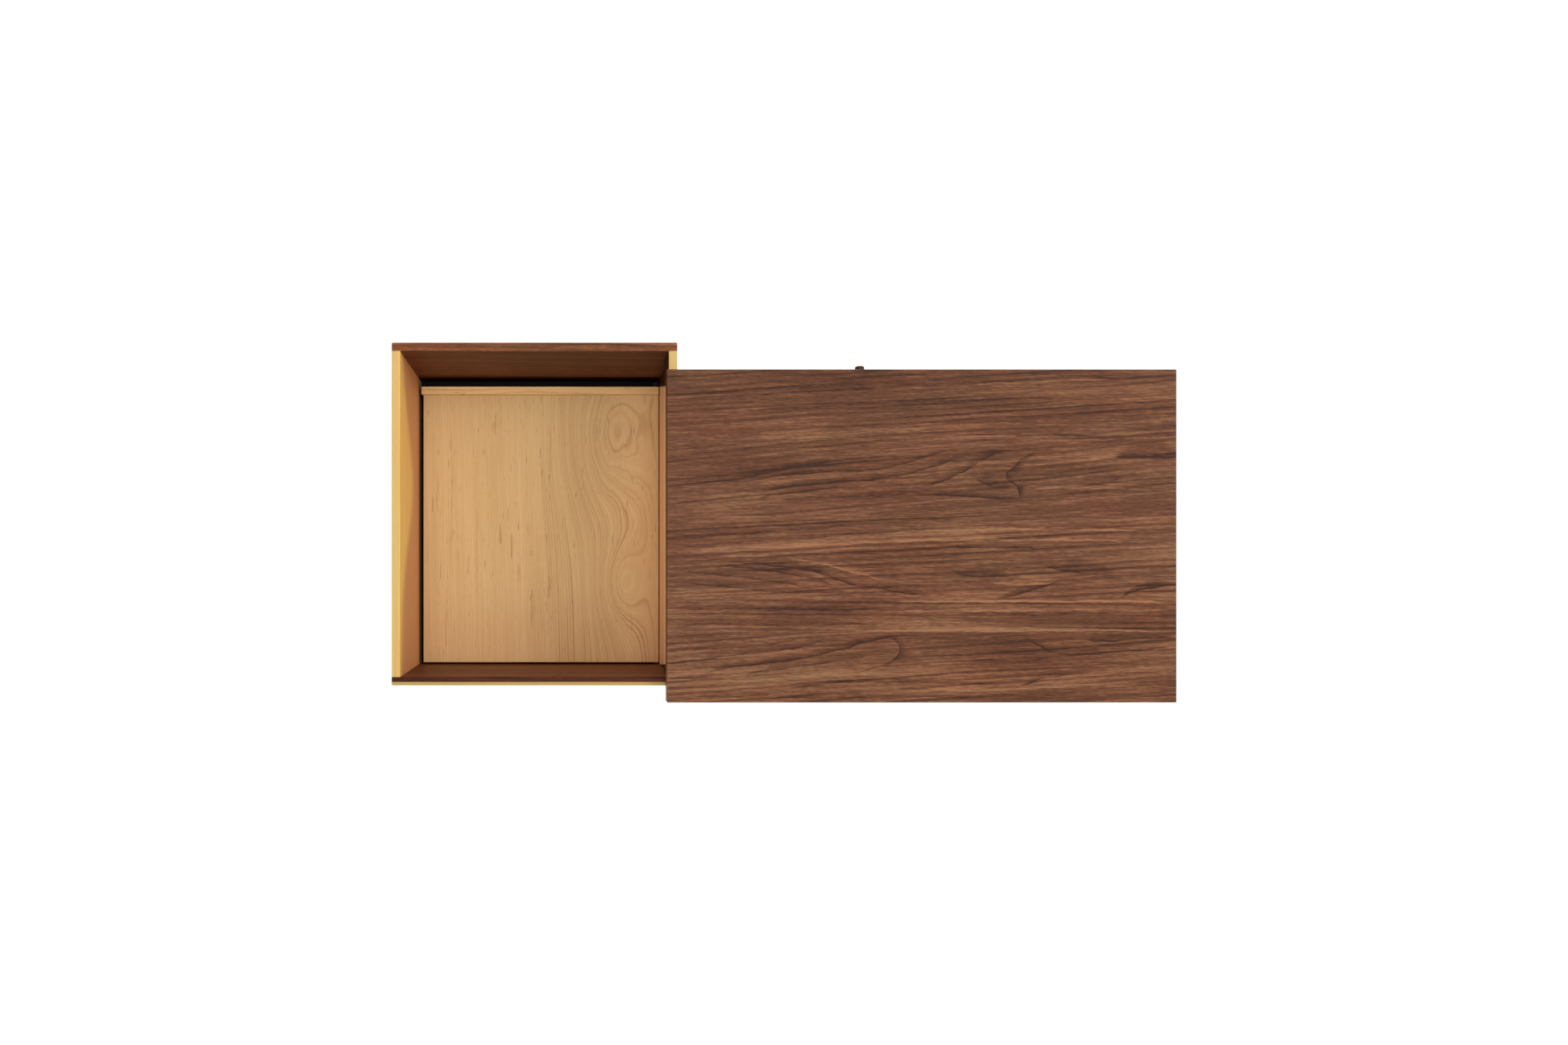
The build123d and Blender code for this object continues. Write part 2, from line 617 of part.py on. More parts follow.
# --------------------------------------------------------------------------------- secret drawer
drawer_bottom = slab(
    drawer_in_x0 - DRAWER_GROOVE,
    drawer_in_x1 + DRAWER_GROOVE,
    drawer_in_y0 - DRAWER_GROOVE,
    drawer_in_y1 + DRAWER_GROOVE,
    drawer_bottom_z0,
    drawer_bottom_z1,
)
stop_slot = slab(
    STOP_SLOT_START,
    STOP_SLOT_END,
    drawer_y1 - STOP_PIN_REACH,
    drawer_y1,
    STOP_PIN_Z - STOP_PIN_RADIUS - STOP_SLOT_CLEARANCE,
    STOP_PIN_Z + STOP_PIN_RADIUS + STOP_SLOT_CLEARANCE,
)
scoop_y = (drawer_y0 + drawer_y1) / 2
finger_scoop = Pos(drawer_x1, scoop_y, drawer_z0) * Sphere(FINGER_SCOOP_RADIUS)
scoop_limit = slab(
    drawer_x1 - FINGER_SCOOP_DEPTH, drawer_x1, drawer_y0, drawer_y1, drawer_z0, drawer_z1
)
finger_scoop = finger_scoop & scoop_limit

drawer_dowels = []
side_lines = (drawer_y0 + DRAWER_SIDE_THICK / 2, drawer_y1 - DRAWER_SIDE_THICK / 2)
for y in side_lines:
    for z in DRAWER_DOWEL_ZS:
        drawer_dowels.append(
            peg_x(y, z, drawer_in_x1 - DOWEL_LONG, drawer_in_x1 + DOWEL_THIN_SEAT, DOWEL_RADIUS)
        )
        drawer_dowels.append(
            peg_x(y, z, drawer_in_x0 - DOWEL_THIN_SEAT, drawer_in_x0 + DOWEL_LONG, DOWEL_RADIUS)
        )

drawer_cuts = [drawer_bottom, stop_slot] + drawer_dowels
drawer_front = soft_slab(
    drawer_in_x1, drawer_x1, drawer_y0, drawer_y1, drawer_z0, drawer_z1, WALL_SOFT
)
parts["drawer_front"] = cut(drawer_front, [finger_scoop] + drawer_cuts)
drawer_zones = {
    "drawer_side_near": (drawer_in_x0, drawer_in_x1, drawer_y0, drawer_in_y0),
    "drawer_side_far": (drawer_in_x0, drawer_in_x1, drawer_in_y1, drawer_y1),
    "drawer_back": (drawer_x0, drawer_in_x0, drawer_y0, drawer_y1),
}
for name, (x0, x1, y0, y1) in drawer_zones.items():
    board = slab(x0, x1, y0, y1, drawer_z0, DRAWER_SIDE_TOP)
    parts[name] = cut(board, drawer_cuts)
parts["drawer_bottom"] = drawer_bottom
parts["drawer_dowels"] = group(drawer_dowels)
parts["drawer_felt"] = slab(
    drawer_in_x0 + DRAWER_FELT_MARGIN,
    drawer_in_x1 - DRAWER_FELT_MARGIN,
    drawer_in_y0 + DRAWER_FELT_MARGIN,
    drawer_in_y1 - DRAWER_FELT_MARGIN,
    drawer_bottom_z1,
    drawer_bottom_z1 + DRAWER_FELT_THICK,
)

# ----------------------------------------------------------------------------------------- write
for name, shape in parts.items():
    shape.label = name
    export_step(shape, f"parts/{name}.step")
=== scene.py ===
import math

import bpy
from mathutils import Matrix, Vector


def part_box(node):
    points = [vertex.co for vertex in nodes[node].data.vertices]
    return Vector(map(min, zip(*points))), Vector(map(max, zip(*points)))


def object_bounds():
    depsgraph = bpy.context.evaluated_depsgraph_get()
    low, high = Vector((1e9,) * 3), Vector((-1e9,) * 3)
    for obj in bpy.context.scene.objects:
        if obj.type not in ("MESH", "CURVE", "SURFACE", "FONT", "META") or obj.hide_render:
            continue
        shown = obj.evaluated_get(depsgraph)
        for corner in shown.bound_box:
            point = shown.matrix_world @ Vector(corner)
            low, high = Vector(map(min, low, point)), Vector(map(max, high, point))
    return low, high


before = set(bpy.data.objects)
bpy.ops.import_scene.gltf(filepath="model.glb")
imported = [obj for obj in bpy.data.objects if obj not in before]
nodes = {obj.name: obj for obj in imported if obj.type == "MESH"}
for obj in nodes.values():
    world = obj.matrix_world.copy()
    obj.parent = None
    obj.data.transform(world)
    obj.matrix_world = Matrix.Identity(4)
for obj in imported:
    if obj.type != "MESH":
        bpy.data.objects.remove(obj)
cad_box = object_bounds()
LEFT_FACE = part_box("tray_left_wall")[1][0]
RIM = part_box("tray_left_wall")[1][2]
BACK_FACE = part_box("tray_back_wall")[0][1]
BOTTOM_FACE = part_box("tray_bottom")[1][2]
BATTEN_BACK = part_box("finger_batten")[1][1]
SIDE_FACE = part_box("tray_side_panel")[0][0]

# ---------------------------------------------------------------- shader graph helper
class Graph:
    """Builds a material's node tree one readable step at a time."""

    def __init__(self, name):
        self.mat = bpy.data.materials.new(name)
        self.mat.use_nodes = True
        self.tree = self.mat.node_tree
        self.tree.nodes.clear()
        self.out = self.tree.nodes.new("ShaderNodeOutputMaterial")
        self.bsdf = self.tree.nodes.new("ShaderNodeBsdfPrincipled")
        self.link(self.bsdf.outputs[0], self.out.inputs["Surface"])

    def link(self, source, socket):
        self.tree.links.new(source, socket)

    def feed(self, value, socket):
        """A number or colour is set on the socket, anything else is linked to it."""
        if isinstance(value, bpy.types.NodeSocket):
            self.link(value, socket)
        else:
            socket.default_value = value

    def math(self, op, a, b=0.0, c=0.0, clamp=False):
        node = self.tree.nodes.new("ShaderNodeMath")
        node.operation = op
        node.use_clamp = clamp
        self.feed(a, node.inputs[0])
        self.feed(b, node.inputs[1])
        self.feed(c, node.inputs[2])
        return node.outputs[0]

    def add(self, *terms):
        total = terms[0]
        for term in terms[1:]:
            total = self.math("ADD", total, term)
        return total

    def mul(self, a, b):
        return self.math("MULTIPLY", a, b)

    def step(self, value, low, high, out_low=0.0, out_high=1.0):
        """Smooth step of value from low to high."""
        node = self.tree.nodes.new("ShaderNodeMapRange")
        node.interpolation_type = "SMOOTHSTEP"
        self.feed(value, node.inputs["Value"])
        node.inputs["From Min"].default_value = low
        node.inputs["From Max"].default_value = high
        node.inputs["To Min"].default_value = out_low
        node.inputs["To Max"].default_value = out_high
        return node.outputs[0]

    def coords(self):
        node = self.tree.nodes.new("ShaderNodeTexCoord")
        split = self.tree.nodes.new("ShaderNodeSeparateXYZ")
        self.link(node.outputs["Object"], split.inputs[0])
        return [split.outputs[k] for k in range(3)]

    def vector(self, x, y, z):
        node = self.tree.nodes.new("ShaderNodeCombineXYZ")
        for value, socket in zip((x, y, z), node.inputs):
            self.feed(value, socket)
        return node.outputs[0]

    def noise(self, vector, scale=1.0, detail=2.0, rough=0.5, distort=0.0):
        node = self.tree.nodes.new("ShaderNodeTexNoise")
        self.link(vector, node.inputs["Vector"])
        node.inputs["Scale"].default_value = scale
        node.inputs["Detail"].default_value = detail
        node.inputs["Roughness"].default_value = rough
        node.inputs["Distortion"].default_value = distort
        return node.outputs["Fac"]

    def ramp(self, value, stops):
        node = self.tree.nodes.new("ShaderNodeValToRGB")
        while len(node.color_ramp.elements) < len(stops):
            node.color_ramp.elements.new(0.5)
        for element, (place, colour) in zip(node.color_ramp.elements, stops):
            element.position = place
            element.color = (*colour, 1.0)
        self.feed(value, node.inputs[0])
        return node.outputs[0]

    def mix(self, factor, a, b, kind="MIX"):
        node = self.tree.nodes.new("ShaderNodeMix")
        node.data_type = "RGBA"
        node.blend_type = kind
        self.feed(factor, node.inputs["Factor"])
        self.feed(a, node.inputs["A"])
        self.feed(b, node.inputs["B"])
        return node.outputs["Result"]

    def bump(self, height, distance, strength=1.0):
        node = self.tree.nodes.new("ShaderNodeBump")
        node.inputs["Strength"].default_value = strength
        node.inputs["Distance"].default_value = distance
        self.link(height, node.inputs["Height"])
        self.link(node.outputs[0], self.bsdf.inputs["Normal"])

    def surface(self, colour, roughness, specular=0.4, metallic=0.0):
        self.feed(colour, self.bsdf.inputs["Base Color"])
        self.feed(roughness, self.bsdf.inputs["Roughness"])
        self.bsdf.inputs["Specular IOR Level"].default_value = specular
        self.bsdf.inputs["Metallic"].default_value = metallic


def srgb(r, g, b):
    """A colour seen on screen as linear light."""
    linear = []
    for channel in (r, g, b):
        c = channel / 255.0
        linear.append(c / 12.92 if c <= 0.04045 else ((c + 0.055) / 1.055) ** 2.4)
    return tuple(linear)


# ---------------------------------------------------------------- wood
def palette(dark, mid, light, **look):
    return dict(dark=srgb(*dark), mid=srgb(*mid), light=srgb(*light), **look)


WALNUT = palette(
    (56, 29, 15), (98, 60, 39), (141, 98, 68),
    ring_gap=0.0042, line=0.36, band=0.30, fibre=1.0, grit=0.5, streak=0.85, cloud=0.55, hue=1.0,
    pore=0.35, pore_share=0.60, fleck=0.0,
)
DEEP_WALNUT = dict(WALNUT, dark=srgb(58, 29, 16), mid=srgb(102, 58, 36), light=srgb(142, 90, 60))
BEECH = palette(
    (164, 122, 78), (194, 156, 105), (220, 186, 136),
    ring_gap=0.0027, line=0.34, band=0.10, fibre=0.24, grit=0.14, streak=0.18, cloud=0.2, hue=0.4,
    pore=0.12, pore_share=0.64, fleck=0.5,
)
GOLD_MAPLE = dict(
    BEECH, dark=srgb(196, 150, 84), mid=srgb(222, 186, 120), light=srgb(236, 208, 150), fleck=0.0, line=0.2
)
RUDDY = (1.10, 0.95, 0.93, 1.0)
OLIVE = (0.91, 1.05, 1.03, 1.0)
LENGTH_AXES = {"x": (0, 1, 2), "y": (1, 0, 2), "z": (2, 0, 1)}


def centred(g, value, amount):
    """A 0..1 noise as -amount/2..amount/2."""
    return g.mul(g.math("SUBTRACT", value, 0.5), amount)


def stroke(g, along, across, points, width):
    """How strongly a place lies on a growth line drawn through points (along, across), in metres.
    The line is crisp on one side, fades over width on the other, and dies away at both ends."""
    first, last = points[0][0], points[-1][0]
    low_v = min(v for _, v in points)
    span = max(v for _, v in points) - low_v + 1e-6
    node = g.tree.nodes.new("ShaderNodeFloatCurve")
    curve = node.mapping.curves[0]
    for number, (u, v) in enumerate(points):
        place = ((u - first) / (last - first), (v - low_v) / span)
        if number in (0, len(points) - 1):
            curve.points[0 if number == 0 else -1].location = place
        else:
            curve.points.new(*place)
    node.mapping.update()
    t = g.mul(g.math("SUBTRACT", along, first), 1.0 / (last - first))
    g.feed(t, node.inputs["Value"])
    centre = g.add(low_v, g.mul(node.outputs[0], span))
    away = g.math("SUBTRACT", across, centre)
    taper = g.add(0.35, g.mul(g.step(t, 0.0, 0.5), g.step(t, 0.5, 1.0, 0.65, 0.0)))
    off = g.math("DIVIDE", g.mul(away, 0.7 / width), taper)
    shade = g.mul(g.step(off, -0.25, 0.0), g.step(off, 0.0, 1.8, 1.0, 0.0))
    core = g.mul(g.step(away, -0.0007, 0.0), g.step(away, 0.0, 0.0011, 1.0, 0.0))
    ends = g.mul(g.step(t, 0.0, 0.16), g.step(t, 0.84, 1.0, 1.0, 0.0))
    return g.mul(g.add(g.mul(shade, 0.65), g.mul(core, 0.60)), ends)


def wood(
    name, kind, grain, seed, figures=(), slope=0.0, wander=0.006, tone=0.0, rough=0.5, specular=0.1,
    jag=1.1, quiet=None, strokes=(), tint=None,
):
    """A sawn board.  Its growth lines run along the grain, rise by slope and bend round each of
    its figures: (along, across, half length, half width, push), all in metres.  jag roughens the
    figures, and the lines fade out over the stretch of quiet, from its first to its second end.
    Each of strokes is one more line: its points, its width and its depth, and a fourth entry when
    it runs mostly across the board."""
    g = Graph(name)
    axes = LENGTH_AXES[grain]
    place = g.coords()
    along, across, deep = (place[k] for k in axes)
    shift = seed * 1.37

    drift = g.noise(g.vector(g.mul(along, 6.0), g.add(g.mul(across, 22.0), shift), deep), 1.0, 2.0)
    ripple = g.noise(g.vector(g.mul(along, 30.0), g.add(g.mul(across, 120.0), shift), deep), 1.0, 2.0)
    lift = g.add(
        across,
        g.mul(along, slope),
        g.mul(deep, 0.6),
        centred(g, drift, wander * 2.0),
        centred(g, ripple, wander * 0.3),
    )
    skew = centred(g, g.noise(g.vector(g.mul(along, 28.0), g.mul(across, 60.0), shift), 1.0, 2.0), jag)
    for u, v, half_u, half_v, push in figures:
        du = g.add(g.mul(g.math("SUBTRACT", along, u), 1.0 / half_u), skew)
        dv = g.add(g.mul(g.math("SUBTRACT", across, v), 1.0 / half_v), g.mul(skew, -0.7))
        reach = g.add(g.mul(du, du), g.mul(dv, dv))
        hump = g.math("EXPONENT", g.mul(reach, -1.0))
        lift = g.add(lift, g.mul(hump, push))
    turns = g.add(g.mul(lift, 1.0 / kind["ring_gap"]), shift)
    ring = g.math("FRACT", turns)
    late = g.mul(g.step(ring, 0.35, 0.88), g.step(ring, 0.90, 1.0, 1.0, 0.0))
    strength = g.step(g.noise(g.vector(g.mul(turns, 0.83), g.mul(along, 5.0), shift), 1.0, 1.0), 0.30, 0.72)
    if quiet:
        strength = g.mul(strength, g.step(across, quiet[1], quiet[0], 0.25, 1.0))
    band = g.noise(g.vector(g.mul(turns, 0.24), g.mul(along, 2.5), shift), 1.0, 2.0, 0.6)

    fibre = g.noise(
        g.vector(g.mul(along, 45.0), g.mul(across, 900.0), g.mul(deep, 900.0)), 1.0, 3.0, 0.7
    )
    grit = g.noise(g.vector(g.mul(along, 190.0), g.mul(across, 1000.0), g.mul(deep, 1000.0)), 1.0, 1.0)
    streak = g.noise(
        g.vector(g.mul(along, 6.0), g.mul(lift, 420.0), g.mul(deep, 130.0)), 1.0, 3.0, 0.65
    )
    cloud = g.noise(g.vector(g.mul(along, 9.0), g.mul(across, 26.0), g.add(deep, shift)), 1.0, 2.0)

    value = g.add(
        0.53 + tone,
        centred(g, fibre, kind["fibre"]),
        centred(g, grit, kind["grit"]),
        centred(g, streak, kind["streak"]),
        centred(g, cloud, kind["cloud"]),
        centred(g, band, kind["band"] * 2.0),
        g.mul(g.mul(late, strength), -kind["line"]),
        g.mul(g.mul(late, g.math("SUBTRACT", 1.0, strength)), kind["line"] * 0.25),
    )
    shake = g.noise(g.vector(g.mul(along, 90.0), g.mul(across, 220.0), shift), 1.0, 4.0)
    wobble = centred(g, shake, 0.0030)
    patches = g.noise(g.vector(g.mul(along, 55.0), g.mul(across, 150.0), shift))
    patchy = g.step(patches, 0.3, 0.7, 0.55, 1.25)
    for points, width, depth, *turned in strokes:
        pair = (across, g.add(along, wobble)) if turned else (along, g.add(across, wobble))
        value = g.add(value, g.mul(stroke(g, *pair, points, width), g.mul(patchy, -depth)))
    colour = g.ramp(value, [(0.05, kind["dark"]), (0.5, kind["mid"]), (0.95, kind["light"])])

    pores = g.noise(
        g.vector(g.mul(along, 110.0), g.mul(across, 2900.0), g.mul(deep, 2900.0)), 1.0, 1.0, 0.5
    )
    pore = g.mul(g.step(pores, kind["pore_share"], kind["pore_share"] + 0.08), kind["pore"])
    colour = g.mix(pore, colour, (*[c * 0.5 for c in kind["dark"]], 1.0))
    if kind["fleck"]:
        flecks = g.noise(
            g.vector(g.mul(along, 75.0), g.mul(across, 800.0), g.add(deep, shift)), 1.0, 1.0, 0.5
        )
        fleck = g.mul(g.step(flecks, 0.69, 0.76), kind["fleck"])
        colour = g.mix(fleck, colour, (*[c * 0.6 for c in kind["dark"]], 1.0))
    hue = g.noise(g.vector(g.mul(along, 11.0), g.mul(across, 40.0), g.add(shift, 7.0)), 1.0, 2.0)
    ruddy = g.mix(kind["hue"], colour, RUDDY, "MULTIPLY")
    olive = g.mix(kind["hue"], colour, OLIVE, "MULTIPLY")
    colour = g.mix(hue, ruddy, olive)
    if tint:
        colour = tint(g, place, colour)

    shine = g.add(rough, centred(g, fibre, 0.25), g.mul(pore, 0.2))
    g.surface(colour, shine, specular)
    g.bump(g.add(g.mul(fibre, 0.5), g.mul(pore, -1.0), g.mul(late, 0.15)), 0.00006, 0.5)
    return g.mat


def metal(name, colour, rough, grain_axis=0):
    g = Graph(name)
    place = g.coords()
    scaled = [g.mul(c, 90.0 if k == grain_axis else 2600.0) for k, c in enumerate(place)]
    brushed = g.noise(g.vector(*scaled), 1.0, 2.0)
    tint = g.mix(brushed, (*colour, 1.0), (*[c * 0.72 for c in colour], 1.0))
    g.surface(tint, g.add(rough, g.mul(brushed, 0.18)), 0.5, 1.0)
    g.bump(brushed, 0.00002, 0.4)
    return g.mat


def felt(name, colour):
    g = Graph(name)
    place = g.vector(*g.coords())
    tufts = g.noise(place, 900.0, 4.0, 0.7)
    patches = g.noise(place, 60.0, 2.0)
    shade = (*[c * 0.5 for c in colour], 1.0)
    nap = (*[c * 1.7 for c in colour], 1.0)
    tint = g.mix(g.add(g.mul(tufts, 0.7), g.mul(patches, 0.3)), shade, nap)
    g.surface(tint, 0.95, 0.1)
    g.bsdf.inputs["Sheen Weight"].default_value = 0.4
    g.bump(tufts, 0.0004, 0.7)
    return g.mat


# ---------------------------------------------------------------- finishes by node
def paint(node, material):
    for slot in nodes[node].material_slots:
        slot.material = material


def mm(*numbers):
    """Pairs of millimetres along and across as points in metres."""
    return [(numbers[k] / 1000, numbers[k + 1] / 1000) for k in range(0, len(numbers), 2)]


# The lid's staves, back to front: how the grain of each runs, and the growth lines that stand out
# on it, each with its points, its width in metres and how dark it is (below zero, how light).
LID_STAVES = {
    "lid_stave_1": dict(slope=-0.06, wander=0.004, tone=-0.01, strokes=[
        (mm(-178, 93, -82, 99, 9, 104, 80, 107, 176, 109), 0.0050, 0.24),
        (mm(-140, 84, -60, 89, 20, 92.5, 110, 95), 0.0020, 0.22),
        (mm(-40, 99, 30, 103, 110, 107, 172, 105), 0.0040, -0.20),
        (mm(60, 112, 120, 109, 178, 102), 0.0022, 0.22),
        (mm(-176, 72, -60, 74, 40, 78, 120, 76), 0.0022, 0.16),
        (mm(20, 68, 60, 69, 130, 68), 0.0020, 0.30),
    ]),
    "lid_stave_2": dict(slope=-0.09, wander=0.003, strokes=[
        (mm(-176, 34, -127, 39, -82, 48, -34, 54, 10, 58), 0.0022, 0.32),
        (mm(-128, 36, -91, 42, -60, 44, -33, 45.5, 9, 56, 30, 61), 0.0020, 0.34),
        (mm(-127, 24, -121, 28.5, -96, 32.5, -60, 37, -27, 39.5, 9, 48, 36, 58), 0.0026, 0.42),
        (mm(-115, 21.5, -107, 26.5, -82, 30.5, -50, 34), 0.0024, 0.34),
        (mm(-105, 21, -82, 25.7, -41, 27, 10, 30.5), 0.0018, 0.26),
        (mm(0, 33.5, 5, 34.6, 27, 43.5, 50, 56, 63, 59), 0.0028, 0.46),
        (mm(-8, 28.4, 30, 27, 57, 25.4, 72, 27.5), 0.0020, 0.50),
        (mm(24, 66.5, 33, 66, 40, 58.4, 48.5, 64, 56.8, 76, 59.5, 96), 0.0040, 0.50, "turned"),
        (mm(36, 40, 44, 35.5, 54, 33, 62, 36), 0.0050, 0.34),
        (mm(130, 54.5, 141, 53.8, 158, 53.6, 184, 55), 0.0060, 0.80),
        (mm(104, 35.5, 120, 36, 138, 40), 0.0045, 0.30),
        (mm(70, 31, 110, 33, 160, 29), 0.0050, -0.22),
        (mm(60, 48, 62, 40, 68, 33), 0.0040, -0.15),
    ]),
    "lid_stave_3": dict(slope=-0.05, wander=0.003, tone=0.04, strokes=[
        (mm(-176, -3, -90, 4, 8, 11, 60, 13), 0.0022, 0.24),
        (mm(-176, -9, -60, 0, 60, 6, 176, 4), 0.0018, 0.20),
        (mm(-170, -13, -60, -6, 40, -3, 176, -4.5), 0.0016, -0.34),
        (mm(-60, -1, 20, 3.5, 100, 4, 176, 2), 0.0016, -0.30),
        (mm(-10, -9.5, 30, -8, 90, -10), 0.0016, 0.42),
        (mm(-138, -18, -82, -23, -55, -31, -34, -38), 0.0026, 0.44),
        (mm(-150, -15, -110, -14, -80, -17, -50, -24, -18, -33), 0.0034, -0.34),
        (mm(-176, -31, -124, -36, -82, -39, -50, -38), 0.0024, 0.30),
        (mm(-140, -20, -100, -25, -69, -31, -58, -38), 0.0022, 0.34),
        (mm(-170, -24, -120, -29, -90, -33, -72, -38), 0.0022, 0.28),
        (mm(-110, -13.5, -88, -15.5, -60, -16), 0.0036, 0.30),
        (mm(-46, -33, -20, -38, 8, -42), 0.0026, 0.34),
        (mm(44, -31, 70, -33, 96, -31), 0.0060, -0.40),
        (mm(82, -20, 100, -24, 134, -27), 0.0060, 0.34),
        (mm(50, -43.5, 60, -41.5, 76, -37, 96, -31), 0.0026, 0.44),
        (mm(20, -26, 45, -28, 62, -28), 0.0030, 0.34),
        (mm(136, -43.5, 141, -40, 152, -36.5, 178, -33.5), 0.0030, 0.62),
    ]),
    "lid_stave_4": dict(slope=0.004, wander=0.0012, tone=0.03, strokes=[
        (mm(-30, -45.6, 60, -45.4, 178, -45.2), 0.0014, -0.50),
        (mm(20, -51.5, 100, -51.3, 178, -51.5), 0.0013, -0.34),
        (mm(-60, -65.4, 40, -65.2, 178, -65.6), 0.0013, -0.44),
        (mm(-176, -50, -60, -50.8, 20, -50), 0.0016, 0.32),
        (mm(-176, -60.5, -90, -61, -20, -59), 0.0016, 0.28),
        (mm(20, -53.4, 90, -53.2, 140, -53.8), 0.0014, 0.34),
    ]),
    "lid_stave_5": dict(slope=-0.07, wander=0.003, tone=0.0, strokes=[
        (mm(-153, -98, -150, -96.5, -143, -92.5, -90, -85.5, -55, -77.5, -27, -70.5, 0, -67.5), 0.0028, 0.50),
        (mm(-125, -99.5, -120, -95, -82, -89.5, -41, -83, -10, -80), 0.0024, 0.34),
        (mm(-176, -77.5, -138, -77, -102, -74.5, -82, -68), 0.0022, 0.32),
        (mm(-176, -88, -124, -81.5, -82, -76, -62, -68), 0.0022, 0.32),
        (mm(-176, -98.5, -160, -98, -140, -97), 0.0018, 0.30),
        (mm(-98, -108, -69, -102, -41, -100, 9, -101, 70, -104), 0.0024, 0.32),
        (mm(-176, -110, -60, -111, 40, -109), 0.0030, 0.24),
        (mm(-96.5, -54, -90.5, -34, -86, -21, -77, -15, -67, -28), 0.0036, 0.40, "turned"),
        (mm(30, -86, 60, -86, 94, -82), 0.0110, 0.20),
        (mm(64, -66.5, 70, -69.5, 81, -76, 97, -81.5, 130, -80, 176, -76), 0.0024, 0.36),
        (mm(108, -70.5, 130, -72, 151, -70, 176, -72), 0.0045, 0.44),
        (mm(66, -103, 74, -101, 89, -96.5, 118, -95), 0.0024, 0.42),
        (mm(-10, -104, 50, -106, 110, -103, 176, -104), 0.0022, -0.26),
    ]),
}
for number, (node, look) in enumerate(LID_STAVES.items()):
    paint(node, wood(node + "_walnut", WALNUT, "x", 3.0 + number * 2.1, **look))


# Painted light or shade that belongs to one face fades out between these depths behind it.
FACE_NEAR = 0.0006
FACE_FAR = 0.0012
# Where the left wall's face turns from painted light near its rim to painted shade below.
SHADE_EDGE_Y = 0.041
SHADE_EDGE_REACH = 0.060
SHADE_EDGE_TOP = 0.127
SHADE_EDGE_DROP = 0.058


def rim_tone(shade, inner=None):
    """The wall's top edge, which shows its own cut, is a shade of its own."""

    def tint(g, place, colour):
        if inner:
            colour = inner(g, place, colour)
        top = g.step(place[2], RIM - 0.0012, RIM - 0.0004)
        return g.mix(top, colour, (*shade, 1.0), "MULTIPLY")

    return tint


def painted_light_and_shade(g, place, colour):
    """The left wall's face is painted golden and lighter near its rim, as painted light, and turns to a
    darker, pinkish tan below, as painted shade.
    """
    x, y, z = place
    reach = g.mul(g.math("SUBTRACT", y, SHADE_EDGE_Y), 1.0 / SHADE_EDGE_REACH)
    hump = g.math("EXPONENT", g.mul(g.mul(reach, reach), -1.0))
    edge = g.math("SUBTRACT", SHADE_EDGE_TOP, g.mul(hump, SHADE_EDGE_DROP))
    below = g.step(g.math("SUBTRACT", edge, z), -0.014, 0.012)
    lit_top = g.mix(1.0, colour, (1.28, 1.18, 0.88, 1.0), "MULTIPLY")
    lit_and_shaded = g.mix(below, lit_top, g.mix(1.0, colour, (0.94, 0.66, 0.68, 1.0), "MULTIPLY"))
    return g.mix(g.step(x, LEFT_FACE - FACE_FAR, LEFT_FACE - FACE_NEAR), colour, lit_and_shaded)


# Where the back wall's painted shade begins and where it is darkest.
BACK_SHADE_TOP = 0.046
BACK_SHADE_DARKEST = 0.030


def painted_shade_foot(g, place, colour):
    """The back wall's face is painted almost black where it goes down behind the loose panel, as painted
    shade in the gap.
    """
    face = g.step(place[1], BACK_FACE + FACE_FAR, BACK_FACE + FACE_NEAR)
    shaded_foot = g.mul(g.step(place[2], BACK_SHADE_TOP, BACK_SHADE_DARKEST), face)
    return g.mix(shaded_foot, colour, (0.07, 0.05, 0.05, 1.0), "MULTIPLY")


# This is painted shade, and its edges are a guess.  They lean along the camera's lines of sight, so that from
# there the painted shade ends where the dark back and front walls do.
SHADE_LEAN_BACK = 0.18
SHADE_LEAN_FRONT = -0.09
SHADE_BACK = (0.1285, 0.1300)
SHADE_FRONT = (-0.1005, -0.1020)
SHADE_FOOT = (0.0330, 0.0315)


def painted_shade_corner(g, place, colour):
    """The pivot side's inner face is painted paler, as painted light, and painted dark in the corners and at
    its foot, as painted shade.
    """
    x, y, z = place
    back = g.step(g.add(y, g.mul(z, SHADE_LEAN_BACK)), *SHADE_BACK)
    front = g.step(g.add(y, g.mul(z, SHADE_LEAN_FRONT)), *SHADE_FRONT)
    shaded_foot = g.step(z, *SHADE_FOOT)
    face = g.step(x, SIDE_FACE + FACE_FAR, SIDE_FACE + FACE_NEAR)
    inner = g.mul(face, g.step(z, RIM - 0.0004, RIM - 0.0010))
    corner = g.mul(inner, g.math("MAXIMUM", g.math("MAXIMUM", back, front), shaded_foot))
    lit_face = g.mix(inner, colour, (1.22, 1.06, 1.35, 1.0), "MULTIPLY")
    return g.mix(corner, lit_face, (0.050, 0.017, 0.008, 1.0))


def painted_highlight_arris(g, place, colour):
    """The finger batten's back edge is painted a shade lighter, as a painted highlight along the arris."""
    edge = g.step(place[1], BATTEN_BACK - 0.0022, BATTEN_BACK - 0.0012)
    return g.mix(edge, colour, (1.12, 1.10, 1.16, 1.0), "MULTIPLY")


def pinker_front_painted_light_side(g, place, colour):
    """The loose panel is pinker and a little darker towards the front, and painted paler towards the pivot
    side, as painted light where it lies in shade.
    """
    near = g.step(place[1], -0.030, -0.085)
    side = g.step(place[0], -0.215, -0.170)
    colour = g.mix(near, colour, (0.93, 0.86, 0.86, 1.0), "MULTIPLY")
    return g.mix(side, colour, (1.22, 1.22, 1.26, 1.0), "MULTIPLY")


